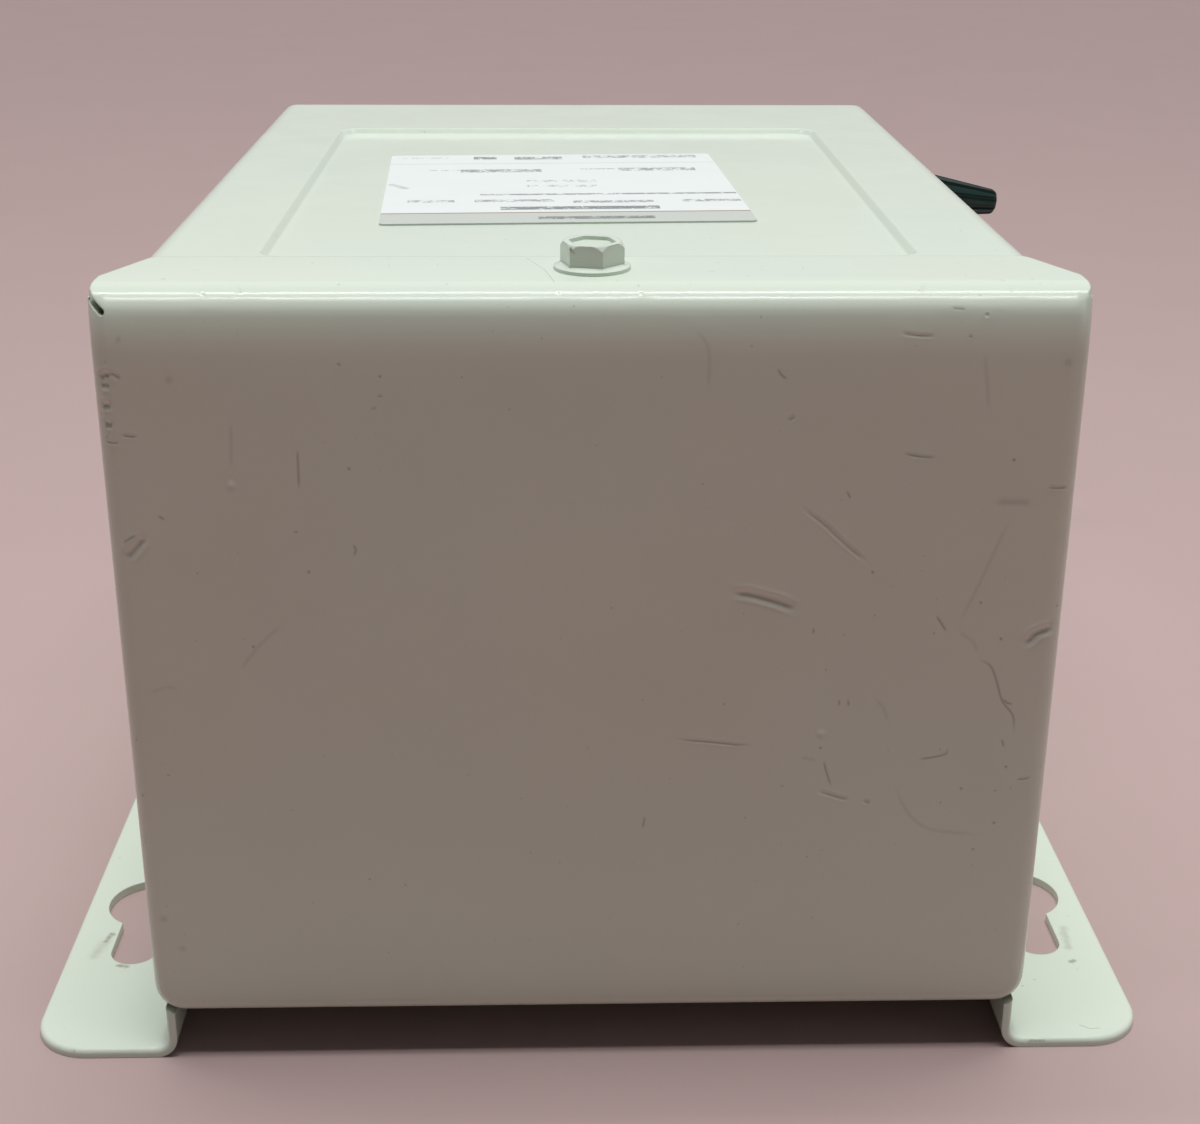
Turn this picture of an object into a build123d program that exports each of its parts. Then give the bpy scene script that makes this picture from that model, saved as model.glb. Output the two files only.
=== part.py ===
from build123d import *
import math
import os

# A small encapsulated transformer for a wall, lying on its back. The mounting plane is z = 0, the front
# panel faces +Z, and the end that is uppermost on a wall is at -Y. The origin is under the middle of the
# case. All sizes are in millimetres.

# Sheet metal
sheet = 1.5
nest_gap = 0.2            # between a sheet and the one that slides over it
face_gap = 0.1            # between flat sheets that lie on each other
front_bend_inside = 2.0   # front panel to side wall
foot_bend_inside = 2.0    # side wall to mounting flange
cover_bend_inside = 1.5   # round the face of the top cover
plate_bend_inside = 1.0   # back plate and bottom plate

# Core and coil
tongue = 38.1             # width of the middle leg
stack = 50.0              # height of the pile of laminations
coil_length = 56.5
bobbin_slack = 0.3
bobbin_wall = 1.2
low_build = 7.0
barrier_thickness = 0.8
high_build = 7.5
wrap_thickness = 0.6
window_gap = 1.65         # outer face of the coil to the outer leg
window_end_gap = 0.325    # bobbin end to the yoke
bolt_radius = 2.4
bolt_slack = 0.2
bolt_flats = 8.0
bolt_head = 3.2
bolt_end = 1.0            # bolt past its nut
spacer_width = 12.0
spacer_length = 70.0

# Potting and the space left round it
side_fill = 7.35          # beside the core
end_fill = 12.375         # before and behind the core
under_fill = 11.6         # under the coil
over_fill = 10.9          # over the coil
pour_gap = 0.3            # potting to the sheets beside it
screw_room = 4.7          # cover screw to the potting
wiring_space = 45.0       # potting to the far end of the case
standoff = 7.8            # wall plane to the top cover
foot_setback = 0.5        # outer face of the top cover to the near edge of the flanges

# Pressed panel in the front
recess_depth = 1.1
recess_run = 1.0          # width of its sloped edge
recess_blend = 0.5
recess_corner = 4.0
recess_side = 17.3        # from the side of the case
recess_near = 28.0        # from the near face of the top cover
recess_far = 35.0         # from the far end of the case

# Mounting flanges
flange_width = 22.1
flange_corner = 9.0
flange_round = 0.8        # top edge of a flange
hole_line = 10.9          # side wall to the line of the mounting holes
key_entry_radius = 7.5
key_slot_radius = 3.9
key_entry_from_end = 43.0
key_slot_from_end = 27.9
low_slot_radius = 3.9
low_slot_length = 13.0
low_slot_from_end = 27.9

# Top cover
lip_depth = 20.5
ear_start = 8.5           # near face to where the lip's corner is cut back
ear_cut = 5.5
ear_round = 2.0
side_skirt = 11.0
back_skirt = 14.0
cover_corner = 5.0        # outside radius of the two lower corners
lip_inset = 0.5           # end of the lip, from the outside of the skirt
skirt_slit = 0.5          # lip to the top edge of a side skirt
gap_length = 2.9          # the corner at -X that stands open
gap_width = 1.0
gap_side = 1.5            # its middle, from the outside of the skirt
gap_drop = 2.5            # and from the top of the lip
gap_turn = -41.0          # degrees

# Hex washer head screws
hex_flats = 7.94
hex_height = 3.0
hex_chamfer = 0.8         # depth of the turned chamfer at the corners
hex_land = 0.1            # from a flat to the edge of that chamfer
hex_rim = 1.0
hex_dish = 0.5
washer_radius = 5.4
washer_thickness = 0.85
washer_rim = 0.45
washer_taper = 1.0
shank_radius = 2.4
hole_slack = 0.2
tapped_slack = 0.05
cover_screw_length = 10.0
cover_screw_from_end = 12.9
cover_screw_turn = -13.6  # degrees
plate_screw_length = 8.0
plate_screw_inset = 7.0   # outer face of the bottom plate to its screws
ground_screw_length = 4.0
ground_screw_side = 38.0
ground_screw_from_end = 24.0

# Back plate and bottom plate
back_flange = 10.0
bottom_inset = 4.0        # far edge of the case to the bottom plate
plate_flange = 14.0
plate_flange_trim = 8.0   # from the front panel to the end of the bottom plate's flange

# Knockouts and the lead's hole
knockout_radius = 11.1
knockout_groove = 0.6
knockout_depth = 0.8
knockout_tie = 3.0
knockout_sides = (-40.0, -4.0)
side_knockout_from_end = 29.0
grommet_hole_radius = 6.4
grommet_flange_radius = 8.6
grommet_flange = 2.0
grommet_slack = 0.1

# Nameplate
label_width = 61.5
label_length = 65.5
label_thickness = 0.3
label_corner = 1.0
label_side = -4.2
label_from_end = 89.3
label_skew = 2.6          # degrees

# Leads
lead_radius = 1.6
lead_slack = 0.1
lead_pitch = 20.0
leads_in_row = 4
lead_bend = 8.0
lead_drop = 20.0
high_lead_reach = 13.0    # potting to the turned-over leads
low_lead_reach = 27.0
cap_radius = 3.6
cap_length = 17.0
cap_grip = 8.0
cap_round = 1.8

# The ground lead, its route outside the case and its connector
ground_radius = 1.9
ground_slack = 0.2
ground_side = 45.0
ground_route_from_exit = (
    (0.0, 0.0, 0.0),
    (0.0, 15.0, 0.0),
    (3.0, 28.5, 6.5),
    (11.0, 39.5, 18.0),
    (24.5, 45.5, 29.6),
    (40.0, 46.0, 27.9),
)
run_share = 0.45          # of the shorter run, taken up by an arc
nut_length = 23.0
nut_base_radius = 5.3
nut_skirt = 6.0
nut_tip_radius = 3.0
nut_round = 1.4
nut_flutes = 10
nut_flute_radius = 0.7

# Worked out from the core outwards
leg = tongue / 2          # an outer leg carries half of the tongue's flux
low_from = bobbin_slack + bobbin_wall
barrier_from = low_from + low_build
high_from = barrier_from + barrier_thickness
wrap_from = high_from + high_build
coil_build = wrap_from + wrap_thickness
window_width = coil_build + window_gap
window_length = coil_length + 2 * window_end_gap
core_width = tongue + 2 * window_width + 2 * leg
core_length = window_length + 2 * leg

wall_in = core_width / 2 + side_fill + pour_gap
wall_out = wall_in + sheet
flange_edge = wall_out + flange_width
plate_half = wall_in - nest_gap
cover_half = wall_out + nest_gap + sheet

back_low = standoff + sheet + face_gap
back_top = back_low + sheet
potting_low = back_top + face_gap
core_low = potting_low + under_fill + coil_build
core_high = core_low + stack
core_middle = (core_low + core_high) / 2
potting_high = core_high + coil_build + over_fill
front_in = potting_high + face_gap + recess_depth
front_out = front_in + sheet
lip_under = front_out + face_gap
cover_top = lip_under + sheet

cover_room = cover_screw_from_end + shank_radius + screw_room
overall_length = cover_room + 2 * end_fill + core_length + wiring_space
near = -overall_length / 2
far = overall_length / 2
wrapper_near = near + foot_setback
wall_near = near + sheet + cover_bend_inside + face_gap
potting_near = near + cover_room
core_near = potting_near + end_fill
core_far = core_near + core_length
potting_far = core_far + end_fill
coil_near = core_near + leg + window_end_gap
coil_far = coil_near + coil_length
plate_out = far - bottom_inset
plate_in = plate_out - sheet
high_row = core_high + coil_build / 2
low_row = core_low - coil_build / 2

hole_side = wall_out + hole_line
screw_hole = shank_radius + hole_slack
tapped_hole = shank_radius + tapped_slack
recess_floor = front_out - recess_depth
plate_screw_end = plate_out - plate_screw_inset
grommet_bore = ground_radius + ground_slack
ground_exit = (ground_side, plate_out + grommet_flange, core_middle)
through = 2 * sheet       # how far a cut runs past what it goes through


def block(x0, x1, y0, y1, z0, z1):
    middle = ((x0 + x1) / 2, (y0 + y1) / 2, (z0 + z1) / 2)
    return Pos(*middle) * Box(x1 - x0, y1 - y0, z1 - z0)


def along_x(sketch, x0, x1):
    """A sketch drawn in Y and Z, carried from x0 to x1."""
    return extrude(Plane.YZ.offset(x0) * sketch, x1 - x0)


def along_y(sketch, y0, y1):
    """A sketch drawn in X and Z, carried from y0 to y1."""
    return extrude(Plane.XZ.offset(-y1) * sketch, y1 - y0)


def along_z(sketch, z0, z1):
    """A sketch drawn in X and Y, carried from z0 to z1."""
    return extrude(Plane.XY.offset(z0) * sketch, z1 - z0)


def both_sides(piece):
    return piece + mirror(piece, Plane.YZ)


def closed_face(first, second):
    """The face between two open lines that run the same way."""
    ends = [Line(first @ 0, second @ 0), Line(first @ 1, second @ 1)]
    return make_face([first, second] + ends)


def channel_face(half_width, web, ends):
    """A bent strip: a web at height web, with both sides turned over to height ends."""
    lean = math.copysign(sheet, ends - web)
    outer = FilletPolyline(
        (-half_width, ends), (-half_width, web), (half_width, web), (half_width, ends),
        radius=plate_bend_inside + sheet)
    inside = half_width - sheet
    inner = FilletPolyline(
        (-inside, ends), (-inside, web + lean), (inside, web + lean), (inside, ends),
        radius=plate_bend_inside)
    return closed_face(outer, inner)


def hexagon(flats):
    return RegularPolygon(flats / 2, 6, major_radius=False)


def knockout_groove_face():
    """A ring that leaves two ties, which hold the slug in the sheet."""
    ring = Circle(knockout_radius) - Circle(knockout_radius - knockout_groove)
    return ring - Rectangle(knockout_tie, 2 * knockout_radius + knockout_groove)


def recess_solid(surface):
    """The pressed panel, as the solid between one face of the sheet and the floor of the press."""
    length = overall_length - recess_near - recess_far
    width = 2 * (wall_out - recess_side)
    middle = (near + recess_near + far - recess_far) / 2
    edge = RectangleRounded(width, length, recess_corner)
    floor = RectangleRounded(width - 2 * recess_run, length - 2 * recess_run, recess_corner - recess_run)
    top = Plane((0, middle, surface)) * edge
    bottom = Plane((0, middle, surface - recess_depth)) * floor
    return loft([top, bottom])


def wrapper_face():
    """The folded sheet seen from its end: flange, wall, front, wall, flange."""
    foot_outside = foot_bend_inside + sheet
    front_outside = front_bend_inside + sheet
    outer = FilletPolyline(
        (flange_edge, sheet), (wall_out, sheet), (wall_out, front_out),
        (-wall_out, front_out), (-wall_out, sheet), (-flange_edge, sheet),
        radius=[foot_bend_inside, front_outside, front_outside, foot_bend_inside])
    inner = FilletPolyline(
        (flange_edge, 0), (wall_in, 0), (wall_in, front_in),
        (-wall_in, front_in), (-wall_in, 0), (-flange_edge, 0),
        radius=[foot_outside, front_bend_inside, front_bend_inside, foot_outside])
    return closed_face(outer, inner)


def keyhole_face():
    entry = near + key_entry_from_end
    end = near + key_slot_from_end
    neck = Pos(0, (entry + end) / 2) * Rectangle(2 * key_slot_radius, entry - end)
    return Pos(0, entry) * Circle(key_entry_radius) + neck + Pos(0, end) * Circle(key_slot_radius)


def is_recess_edge(edge, height):
    """True for an edge of the pressed panel at this height, on the outside of the front."""
    box = edge.bounding_box()
    flat = abs(box.min.Z - height) < face_gap / 2 and abs(box.max.Z - height) < face_gap / 2
    inside = max(abs(box.min.X), abs(box.max.X)) < wall_out - recess_side + face_gap
    past_ends = box.min.Y > near + recess_near - face_gap and box.max.Y < far - recess_far + face_gap
    return flat and inside and past_ends


def is_flange_rim(edge):
    """True for an edge round the top of a flange, but not for the line where its bend begins."""
    box = edge.bounding_box()
    on_top = abs(box.min.Z - sheet) < face_gap and abs(box.max.Z - sheet) < face_gap
    return on_top and max(abs(box.min.X), abs(box.max.X)) > wall_out + foot_bend_inside + face_gap


def cover_seat_face():
    """The top cover's outline with a little room round it."""
    low = standoff - nest_gap
    outline = Pos(0, (low + cover_top) / 2) * Rectangle(2 * (cover_half + nest_gap), cover_top - low)
    return fillet(outline.vertices().sort_by(Axis.Y)[:2], cover_corner + nest_gap)


def make_case_wrapper():
    body = along_y(wrapper_face(), wrapper_near, far)
    corners = body.edges().filter_by(Axis.Z)
    corners = corners.filter_by(lambda e: abs(e.center().X) > flange_edge - flange_corner)
    body = fillet(corners, flange_corner)
    body = fillet(body.edges().filter_by(is_flange_rim), flange_round)
    body -= along_y(cover_seat_face(), near, wall_near)

    low_slot = Pos(0, far - low_slot_from_end) * SlotOverall(low_slot_length, 2 * low_slot_radius)
    holes = Pos(hole_side, 0) * (keyhole_face() + low_slot)
    body -= both_sides(along_z(holes, -sheet, through))

    body += recess_solid(front_in)
    body -= recess_solid(front_out)
    heights = (front_out, recess_floor)
    steps = body.edges().filter_by(lambda e: any(is_recess_edge(e, height) for height in heights))
    body = fillet(steps, recess_blend)

    screw = Pos(0, near + cover_screw_from_end) * Circle(tapped_hole)
    body -= along_z(screw, front_in - through, front_out + through)

    side_screw = Pos(plate_screw_end, core_middle) * Circle(screw_hole)
    body -= both_sides(along_x(side_screw, wall_in - through, wall_out + through))
    groove = Pos(far - side_knockout_from_end, core_middle) * knockout_groove_face()
    body -= both_sides(along_x(groove, wall_out - knockout_depth, wall_out + sheet))
    return body


def lip_trim_face():
    """What is cut off the lip of the top cover, to leave its two rounded ears."""
    end = near + lip_depth
    lip_half = cover_half - lip_inset
    plan = make_face(Polyline(
        (-lip_half, near),
        (lip_half, near),
        (lip_half, near + ear_start),
        (cover_half - ear_cut, end),
        (ear_cut - cover_half, end),
        (-lip_half, near + ear_start),
        close=True))
    plan = fillet(plan.vertices().sort_by(Axis.Y)[2:], ear_round)
    return Pos(0, near + lip_depth / 2) * Rectangle(2 * cover_half + through, lip_depth) - plan


def make_top_cover():
    bend_outside = cover_bend_inside + sheet
    outer = block(-cover_half, cover_half, near, near + lip_depth, standoff, cover_top)
    edges = outer.edges().filter_by(Axis.Y).sort_by(Axis.Z)
    outer = fillet(edges[:2], cover_corner)
    outer = fillet(outer.faces().sort_by(Axis.Y)[0].edges(), bend_outside)

    half = cover_half - sheet
    inner = block(-half, half, near + sheet, near + lip_depth + through, standoff + sheet, lip_under)
    edges = inner.edges().filter_by(Axis.Y).sort_by(Axis.Z)
    inner = fillet(edges[:2], cover_corner - sheet)
    inner = fillet(inner.faces().sort_by(Axis.Y)[0].edges(), cover_bend_inside)
    cover = outer - inner

    end = near + lip_depth + through
    low = standoff - through
    side_in = half - face_gap
    side_out = cover_half + through
    slit_low = lip_under - skirt_slit
    cover -= both_sides(block(side_in, side_out, near + side_skirt, end, low, lip_under))
    cover -= both_sides(block(side_in, side_out, near + bend_outside, end, slit_low, lip_under))
    cover -= block(-half, half, near + back_skirt, end, low, standoff + cover_corner)
    slot_in = cover_half - cover_corner
    slot_out = wall_out + nest_gap
    cover -= both_sides(block(slot_in, slot_out, near + sheet, end, low, standoff + cover_corner + sheet))

    cover -= along_z(lip_trim_face(), lip_under - skirt_slit / 2, cover_top + through)

    gap = Rot(0, 0, gap_turn) * SlotOverall(gap_length, gap_width)
    gap = Pos(gap_side - cover_half, cover_top - gap_drop) * gap
    cover -= along_y(gap, near - through, near + bend_outside + gap_side)
    screw = Pos(0, near + cover_screw_from_end) * Circle(screw_hole)
    cover -= along_z(screw, lip_under - through, cover_top + through)
    return cover


def make_back_plate():
    plate = along_y(channel_face(plate_half, back_low, back_low + back_flange), wall_near, far)
    ground = Pos(-ground_screw_side, far - ground_screw_from_end) * Circle(tapped_hole)
    return plate - along_z(ground, back_low - through, back_top + through)


def make_bottom_plate():
    low = back_top + face_gap
    high = front_in - nest_gap
    outline = Pos(0, (low + high) / 2) * Rectangle(2 * plate_half, high - low)
    outline = fillet(outline.vertices().sort_by(Axis.Y)[-2:], front_bend_inside)
    plate = along_y(outline, plate_in, plate_out)

    flange_low = back_low + back_flange + nest_gap
    notch = plate_half - sheet - plate_bend_inside - nest_gap
    plate -= both_sides(block(notch, wall_out, plate_in - through, far, back_low, flange_low))
    flange_high = front_in - plate_flange_trim
    bend = plate_bend_inside + sheet
    side_in = plate_half - bend
    side_out = plate_half + bend
    plate -= both_sides(block(side_in, side_out, plate_in - bend, far, flange_low, flange_high))
    strip = channel_face(plate_half, plate_out, plate_out - plate_flange)
    plate += along_z(strip, flange_low, flange_high)

    screw = Pos(plate_screw_end, core_middle) * Circle(tapped_hole)
    plate -= both_sides(along_x(screw, plate_half - through, plate_half + through))
    for side in knockout_sides:
        groove = Pos(side, core_middle) * knockout_groove_face()
        plate -= along_y(groove, plate_out - knockout_depth, far)
    hole = Pos(ground_side, core_middle) * Circle(grommet_hole_radius)
    return plate - along_y(hole, plate_in - through, far)


def hex_screw(length):
    """A screw standing on its washer face, which is at z = 0, with its shank below."""
    slope = washer_thickness - washer_rim
    washer = along_z(Circle(washer_radius), 0, washer_rim)
    washer += Pos(0, 0, washer_rim + slope / 2) * Cone(washer_radius, washer_radius - washer_taper, slope)
    top = washer_thickness + hex_height
    head = along_z(hexagon(hex_flats), washer_rim, top)
    corner = hexagon(hex_flats).vertices()[0].center().length
    land = hex_flats / 2 + hex_land
    wide = land + (corner - land) * top / hex_chamfer
    head &= Pos(0, 0, top / 2) * Cone(wide, land, top)
    dish = hexagon(hex_flats - 2 * hex_rim)
    dish = fillet(dish.vertices(), hex_rim)
    head -= along_z(dish, top - hex_dish, top + through)
    shank = Pos(0, 0, -length / 2) * Cylinder(shank_radius, length)
    return washer + head + shank


def make_cover_screw():
    place = Pos(0, near + cover_screw_from_end, cover_top)
    return place * Rot(0, 0, cover_screw_turn) * hex_screw(cover_screw_length)


def make_bottom_plate_screws():
    right = Pos(wall_out, plate_screw_end, core_middle) * Rot(0, 90, 0) * hex_screw(plate_screw_length)
    return [right, mirror(right, Plane.YZ)]


def make_ground_screw():
    place = Pos(-ground_screw_side, far - ground_screw_from_end, back_top)
    return place * hex_screw(ground_screw_length)


def make_nameplate():
    outline = RectangleRounded(label_width, label_length, label_corner)
    place = Pos(label_side, near + label_from_end) * Rot(0, 0, label_skew)
    return along_z(place * outline, recess_floor, recess_floor + label_thickness)


def make_core_e_stack():
    body = block(-core_width / 2, core_width / 2, core_near, core_far - leg, core_low, core_high)
    low = core_low - through
    high = core_high + through
    window = block(tongue / 2, tongue / 2 + window_width, core_near + leg, core_far, low, high)
    return body - both_sides(window) - bolt_holes()


def make_core_i_stack():
    body = block(-core_width / 2, core_width / 2, core_far - leg, core_far, core_low, core_high)
    return body - bolt_holes()


def bolt_places():
    side = core_width / 2 - leg / 2
    return [(x, y) for x in (-side, side) for y in (core_near + leg / 2, core_far - leg / 2)]


def bolt_holes():
    holes = [Pos(x, y) * Circle(bolt_radius + bolt_slack) for x, y in bolt_places()]
    return along_z(Sketch() + holes, core_low - through, core_high + through)


def make_core_bolts():
    bolts = []
    for x, y in bolt_places():
        head = along_z(hexagon(bolt_flats), core_low - bolt_head, core_low)
        shank = along_z(Circle(bolt_radius), core_low, core_high + bolt_head + bolt_end)
        bolts.append(Pos(x, y) * (head + shank))
    return bolts


def make_core_nuts():
    face = hexagon(bolt_flats) - Circle(bolt_radius + tapped_slack)
    return [Pos(x, y) * along_z(face, core_high, core_high + bolt_head) for x, y in bolt_places()]


def make_core_spacers():
    middle = (core_near + core_far) / 2
    side = tongue / 2 + window_width
    first = middle - spacer_length / 2
    right = block(side, side + spacer_width, first, first + spacer_length, back_top, core_low)
    nuts = bolt_pockets()
    return [right - nuts, mirror(right, Plane.YZ) - nuts]


def bolt_pockets():
    """Room for the bolts' heads under the core and for their nuts over it."""
    corner = hexagon(bolt_flats).vertices()[0].center().length
    room = corner + pour_gap
    pockets = [Pos(x, y) * Circle(room) for x, y in bolt_places()]
    depth = bolt_head + bolt_end + pour_gap
    return along_z(Sketch() + pockets, core_low - depth, core_high + depth)


def coil_section(offset):
    """The tongue's section, grown by an offset."""
    return RectangleRounded(tongue + 2 * offset, stack + 2 * offset, offset)


def coil_ring(inner, outer, y0, y1):
    """A layer of the coil, between two distances from the tongue."""
    return along_y(Pos(0, core_middle) * (coil_section(outer) - coil_section(inner)), y0, y1)


def coil_layer(inner, outer):
    return coil_ring(inner, outer, coil_near + bobbin_wall, coil_far - bobbin_wall)


def make_coil_bobbin():
    tube = coil_ring(bobbin_slack, low_from, coil_near, coil_far)
    first = coil_ring(bobbin_slack, coil_build, coil_near, coil_near + bobbin_wall)
    last = coil_ring(bobbin_slack, coil_build, coil_far - bobbin_wall, coil_far)
    return tube + first + last


def lead_sides():
    return [lead_pitch * (i - (leads_in_row - 1) / 2) for i in range(leads_in_row)]


def tube(path, radius):
    return sweep(Plane(path @ 0, z_dir=path % 0) * Circle(radius), path=path)


def lead_row(height, reach, drop):
    """A row of leads from the coil through the potting, turned over in the wiring space."""
    turn = potting_far + reach
    leads = []
    for x in lead_sides():
        path = FilletPolyline(
            (x, coil_far, height), (x, turn, height), (x, turn, height + drop), radius=lead_bend)
        leads.append(tube(path, lead_radius))
    return leads


def make_high_leads():
    return lead_row(high_row, high_lead_reach, -lead_drop)


def make_low_leads():
    return lead_row(low_row, low_lead_reach, lead_drop)


def lead_cap():
    """A closed-end cap with its mouth at z = 0, pointing up."""
    body = Pos(0, 0, cap_length / 2) * Cylinder(cap_radius, cap_length)
    body = fillet(body.faces().sort_by(Axis.Z)[-1].edges(), cap_round)
    return body - along_z(Circle(lead_radius + lead_slack), -through, cap_grip)


def make_lead_caps():
    caps = []
    for x in lead_sides():
        high_mouth = Pos(x, potting_far + high_lead_reach, high_row - lead_drop + cap_grip)
        low_mouth = Pos(x, potting_far + low_lead_reach, low_row + lead_drop - cap_grip)
        caps.append(high_mouth * Rot(180, 0, 0) * lead_cap())
        caps.append(low_mouth * lead_cap())
    return caps


def make_potting_block():
    half = wall_in - pour_gap
    body = block(-half, half, potting_near, potting_far, potting_low, potting_high)
    edges = body.edges().filter_by(Axis.Y).sort_by(Axis.Z)
    body = fillet(edges[-2:], front_bend_inside)
    flange_in = plate_half - sheet - plate_bend_inside - pour_gap
    flange_top = back_low + back_flange + pour_gap
    body -= both_sides(block(flange_in, wall_out, near, far, 0, flange_top))

    body -= block(-core_width / 2, core_width / 2, core_near, core_far, core_low, core_high)
    body -= along_y(Pos(0, core_middle) * coil_section(coil_build), coil_near, coil_far)
    body -= bolt_pockets()
    spacer = Compound(make_core_spacers()).bounding_box()
    body -= block(spacer.min.X, spacer.min.X + spacer_width, spacer.min.Y, spacer.max.Y, 0, core_middle)
    body -= block(spacer.max.X - spacer_width, spacer.max.X, spacer.min.Y, spacer.max.Y, 0, core_middle)
    bore = Circle(lead_radius + lead_slack)
    channels = [Pos(x, z) * bore for x in lead_sides() for z in (high_row, low_row)]
    body -= along_y(Sketch() + channels, coil_far, far)
    ground = Pos(ground_side, core_middle) * Circle(ground_radius + lead_slack)
    return body - along_y(ground, core_far, far)


def make_lead_grommet():
    neck = Circle(grommet_hole_radius - grommet_slack)
    flange = Circle(grommet_flange_radius)
    body = along_y(neck, plate_in, plate_out)
    body += along_y(flange, plate_out, plate_out + grommet_flange)
    body += along_y(flange, plate_in - grommet_flange, plate_in)
    rims = body.edges().filter_by(GeomType.CIRCLE)
    rims = rims.filter_by(lambda e: e.center().Y > plate_out or e.center().Y < plate_in)
    rims = rims.filter_by(lambda e: abs(e.center().Y - (plate_in + plate_out) / 2) > grommet_flange)
    body = fillet(rims, grommet_flange / 2)
    body -= along_y(Circle(grommet_bore), near, far + through)
    return Pos(ground_side, 0, core_middle) * body


def make_ground_lead_inner():
    place = Pos(ground_side, core_middle)
    return along_y(place * Circle(ground_radius), core_far, ground_exit[1])


def ground_points():
    return [Vector(*ground_exit) + Vector(*step) for step in ground_route_from_exit]


def arc_radii(points):
    """Each corner's largest arc: a share of the shorter run, over the tangent of half the turn."""
    radii = []
    for before, corner, after in zip(points, points[1:], points[2:]):
        shorter = min((corner - before).length, (after - corner).length)
        turn = (corner - before).get_angle(after - corner)
        radii.append(run_share * shorter / math.tan(math.radians(turn) / 2))
    return radii


def make_ground_lead():
    points = ground_points()
    radii = arc_radii(points)
    path = FilletPolyline(*points, radius=radii)
    lead = tube(path, ground_radius)
    expected = math.pi * ground_radius ** 2 * path.length
    print("ground lead radii", [round(r, 1) for r in radii])
    print("ground lead length", round(path.length, 1), "volume share", round(lead.volume / expected, 5))
    return lead


def make_ground_lead_cap():
    """A twist-on connector: a skirt, a fluted taper and a blunt tip, on the end of the lead."""
    profile = Polyline(
        (0, 0),
        (nut_base_radius, 0),
        (nut_base_radius, nut_skirt),
        (nut_tip_radius, nut_length),
        (0, nut_length),
        close=True)
    body = revolve(Plane.XZ * make_face(profile), Axis.Z)
    body = fillet(body.faces().sort_by(Axis.Z)[-1].edges(), nut_round)
    rise = nut_length - nut_skirt
    lean = math.degrees(math.atan2(nut_base_radius - nut_tip_radius, rise))
    flute = Pos(nut_base_radius, 0, nut_skirt) * Rot(0, -lean, 0)
    flute = flute * Pos(0, 0, rise) * Cylinder(nut_flute_radius, 2 * rise)
    flutes = [Rot(0, 0, 360 * i / nut_flutes) * flute for i in range(nut_flutes)]
    body -= flutes
    points = ground_points()
    return Plane(points[-1], z_dir=points[-1] - points[-2]) * body


parts = {
    "case_wrapper": make_case_wrapper(),
    "top_cover": make_top_cover(),
    "back_plate": make_back_plate(),
    "bottom_plate": make_bottom_plate(),
    "cover_screw": make_cover_screw(),
    "bottom_plate_screws": make_bottom_plate_screws(),
    "ground_screw": make_ground_screw(),
    "nameplate": make_nameplate(),
    "core_e_stack": make_core_e_stack(),
    "core_i_stack": make_core_i_stack(),
    "core_bolts": make_core_bolts(),
    "core_nuts": make_core_nuts(),
    "core_spacers": make_core_spacers(),
    "coil_bobbin": make_coil_bobbin(),
    "low_winding": coil_layer(low_from, barrier_from),
    "winding_barrier": coil_layer(barrier_from, high_from),
    "high_winding": coil_layer(high_from, wrap_from),
    "coil_wrap": coil_layer(wrap_from, coil_build),
    "potting_block": make_potting_block(),
    "high_leads": make_high_leads(),
    "low_leads": make_low_leads(),
    "lead_caps": make_lead_caps(),
    "lead_grommet": make_lead_grommet(),
    "ground_lead_inner": make_ground_lead_inner(),
    "ground_lead": make_ground_lead(),
    "ground_lead_cap": make_ground_lead_cap(),
}

os.makedirs("parts", exist_ok=True)
for name, piece in parts.items():
    solids = Compound(piece) if isinstance(piece, list) else piece
    export_step(solids, f"parts/{name}.step")
print(len(parts), "nodes, overall length", overall_length, "height", round(cover_top, 2))
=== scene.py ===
# %% [markdown]
# # A small transformer in a folded steel case
#
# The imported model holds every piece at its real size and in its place. This lesson gives the pieces their
# finish, one step at a time: the camera, a stiff lead, paint and its wear, a printed label, the metal, paper
# and resin inside, and at the end a plain floor and soft light. Lengths are written in millimetres, as a
# maker would say them, and turned into Blender's metres where they are used.

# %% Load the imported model
import math

import bmesh
import bpy
import numpy as np
from mathutils import Matrix, Vector


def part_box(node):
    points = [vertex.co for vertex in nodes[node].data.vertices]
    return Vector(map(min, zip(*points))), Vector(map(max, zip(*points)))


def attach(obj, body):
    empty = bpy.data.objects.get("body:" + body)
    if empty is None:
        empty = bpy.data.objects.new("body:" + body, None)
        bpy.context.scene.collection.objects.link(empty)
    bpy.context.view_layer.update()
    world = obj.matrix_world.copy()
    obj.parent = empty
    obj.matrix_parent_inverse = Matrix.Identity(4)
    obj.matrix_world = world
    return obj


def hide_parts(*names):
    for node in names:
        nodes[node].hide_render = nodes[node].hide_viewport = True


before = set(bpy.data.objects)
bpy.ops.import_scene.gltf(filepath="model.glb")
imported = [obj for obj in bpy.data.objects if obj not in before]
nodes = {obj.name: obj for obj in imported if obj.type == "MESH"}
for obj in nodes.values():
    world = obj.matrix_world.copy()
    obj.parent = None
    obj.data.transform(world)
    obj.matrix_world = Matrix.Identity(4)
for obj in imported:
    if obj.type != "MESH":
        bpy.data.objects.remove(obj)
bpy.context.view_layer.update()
MM = 0.001

# %% [markdown]
# ## The camera
#
# A photograph has one place from which it was taken. Here that place was worked out by matching corners of
# the model's case to the same corners in the picture. The camera is turned by building its three axes by
# hand, because two angles and a small roll are easier to read that way than as a rotation in Euler angles.

# %% The camera
PHOTO_WIDTH = 1200
FOCAL_PIXELS = 1849
SENSOR_MM = 36.0
CAMERA_PLACE = Vector((-5.7, -334.2, 180.4)) * MM
YAW = math.radians(1.57)
PITCH = math.radians(21.82)
ROLL = math.radians(0.28)

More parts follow.
